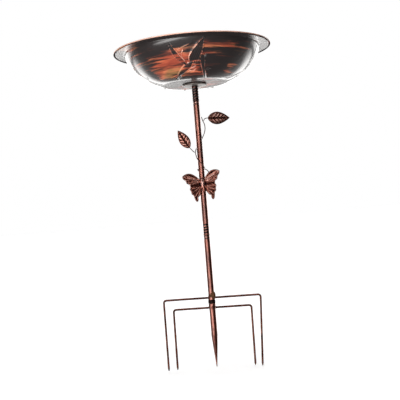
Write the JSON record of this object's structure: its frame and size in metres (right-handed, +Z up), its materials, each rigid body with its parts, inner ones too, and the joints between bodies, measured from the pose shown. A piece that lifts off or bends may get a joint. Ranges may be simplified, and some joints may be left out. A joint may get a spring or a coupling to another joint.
{
  "type": "bird bath",
  "caption": "Shallow round dish with an embossed wall on a slim screw-together garden pole, with a leafy wire vine, a butterfly, a spike and nested fork prongs.",
  "frame": {"origin": "on the pole's axis at soil level, where the fork's inner crossbar stops", "axes": "+Z up the pole, -Y towards the butterfly's side, +X along the fork's crossbars to the right"},
  "size_m": [0.3, 0.3, 0.6153],
  "materials": {
    "dish_coat": "glossy black lacquer brushed over with copper",
    "copper": "antique copper lacquer with a dark patina in the recesses",
    "leaf_copper": "antique copper lacquer, darker in the embossing",
    "dark_wire": "dark brown lacquer",
    "dark_collar": "satin near-black lacquer"
  },
  "bodies": {
    "stake": {"lower_pole": "copper", "joint_plug": "dark_collar", "spike": "copper", "outer_fork": "copper", "inner_fork": "copper", "fork_boss": "copper"},
    "mid_ring": {"mid_joint_ring": "copper"},
    "upper": {"upper_pole": "copper", "vine_wire": "dark_wire", "butterfly_tie": "dark_wire", "left_leaf_stem": "dark_wire", "right_leaf_stem": "dark_wire", "left_leaf": "leaf_copper", "right_leaf": "leaf_copper", "butterfly_wings": "leaf_copper", "butterfly_body": "leaf_copper"},
    "top_ring": {"top_joint_ring": "copper"},
    "dish": {"dish": "dish_coat", "dish_plate": "dark_collar", "dish_socket": "copper"}
  },
  "joints": [
    {"name": "pole_unscrew", "type": "hinge", "parent": "stake", "child": "mid_ring", "pos_m": [0, 0, 0.134], "axis": [0, 0, 1], "range_deg": [0, 1710]},
    {"name": "pole_lift", "type": "slide", "parent": "mid_ring", "child": "upper", "axis": [0, 0, 1], "range_m": [0, 0.0238]},
    {"name": "dish_unscrew", "type": "hinge", "parent": "upper", "child": "top_ring", "pos_m": [0, 0, 0.3913], "axis": [0, 0, 1], "range_deg": [0, 1710]},
    {"name": "dish_lift", "type": "slide", "parent": "top_ring", "child": "dish", "axis": [0, 0, 1], "range_m": [0, 0.0238]}
  ],
  "couplings": [
    {"joint": "pole_lift", "follows": "pole_unscrew", "m_per_rad": 0.00079577},
    {"joint": "dish_lift", "follows": "dish_unscrew", "m_per_rad": 0.00079577}
  ]
}
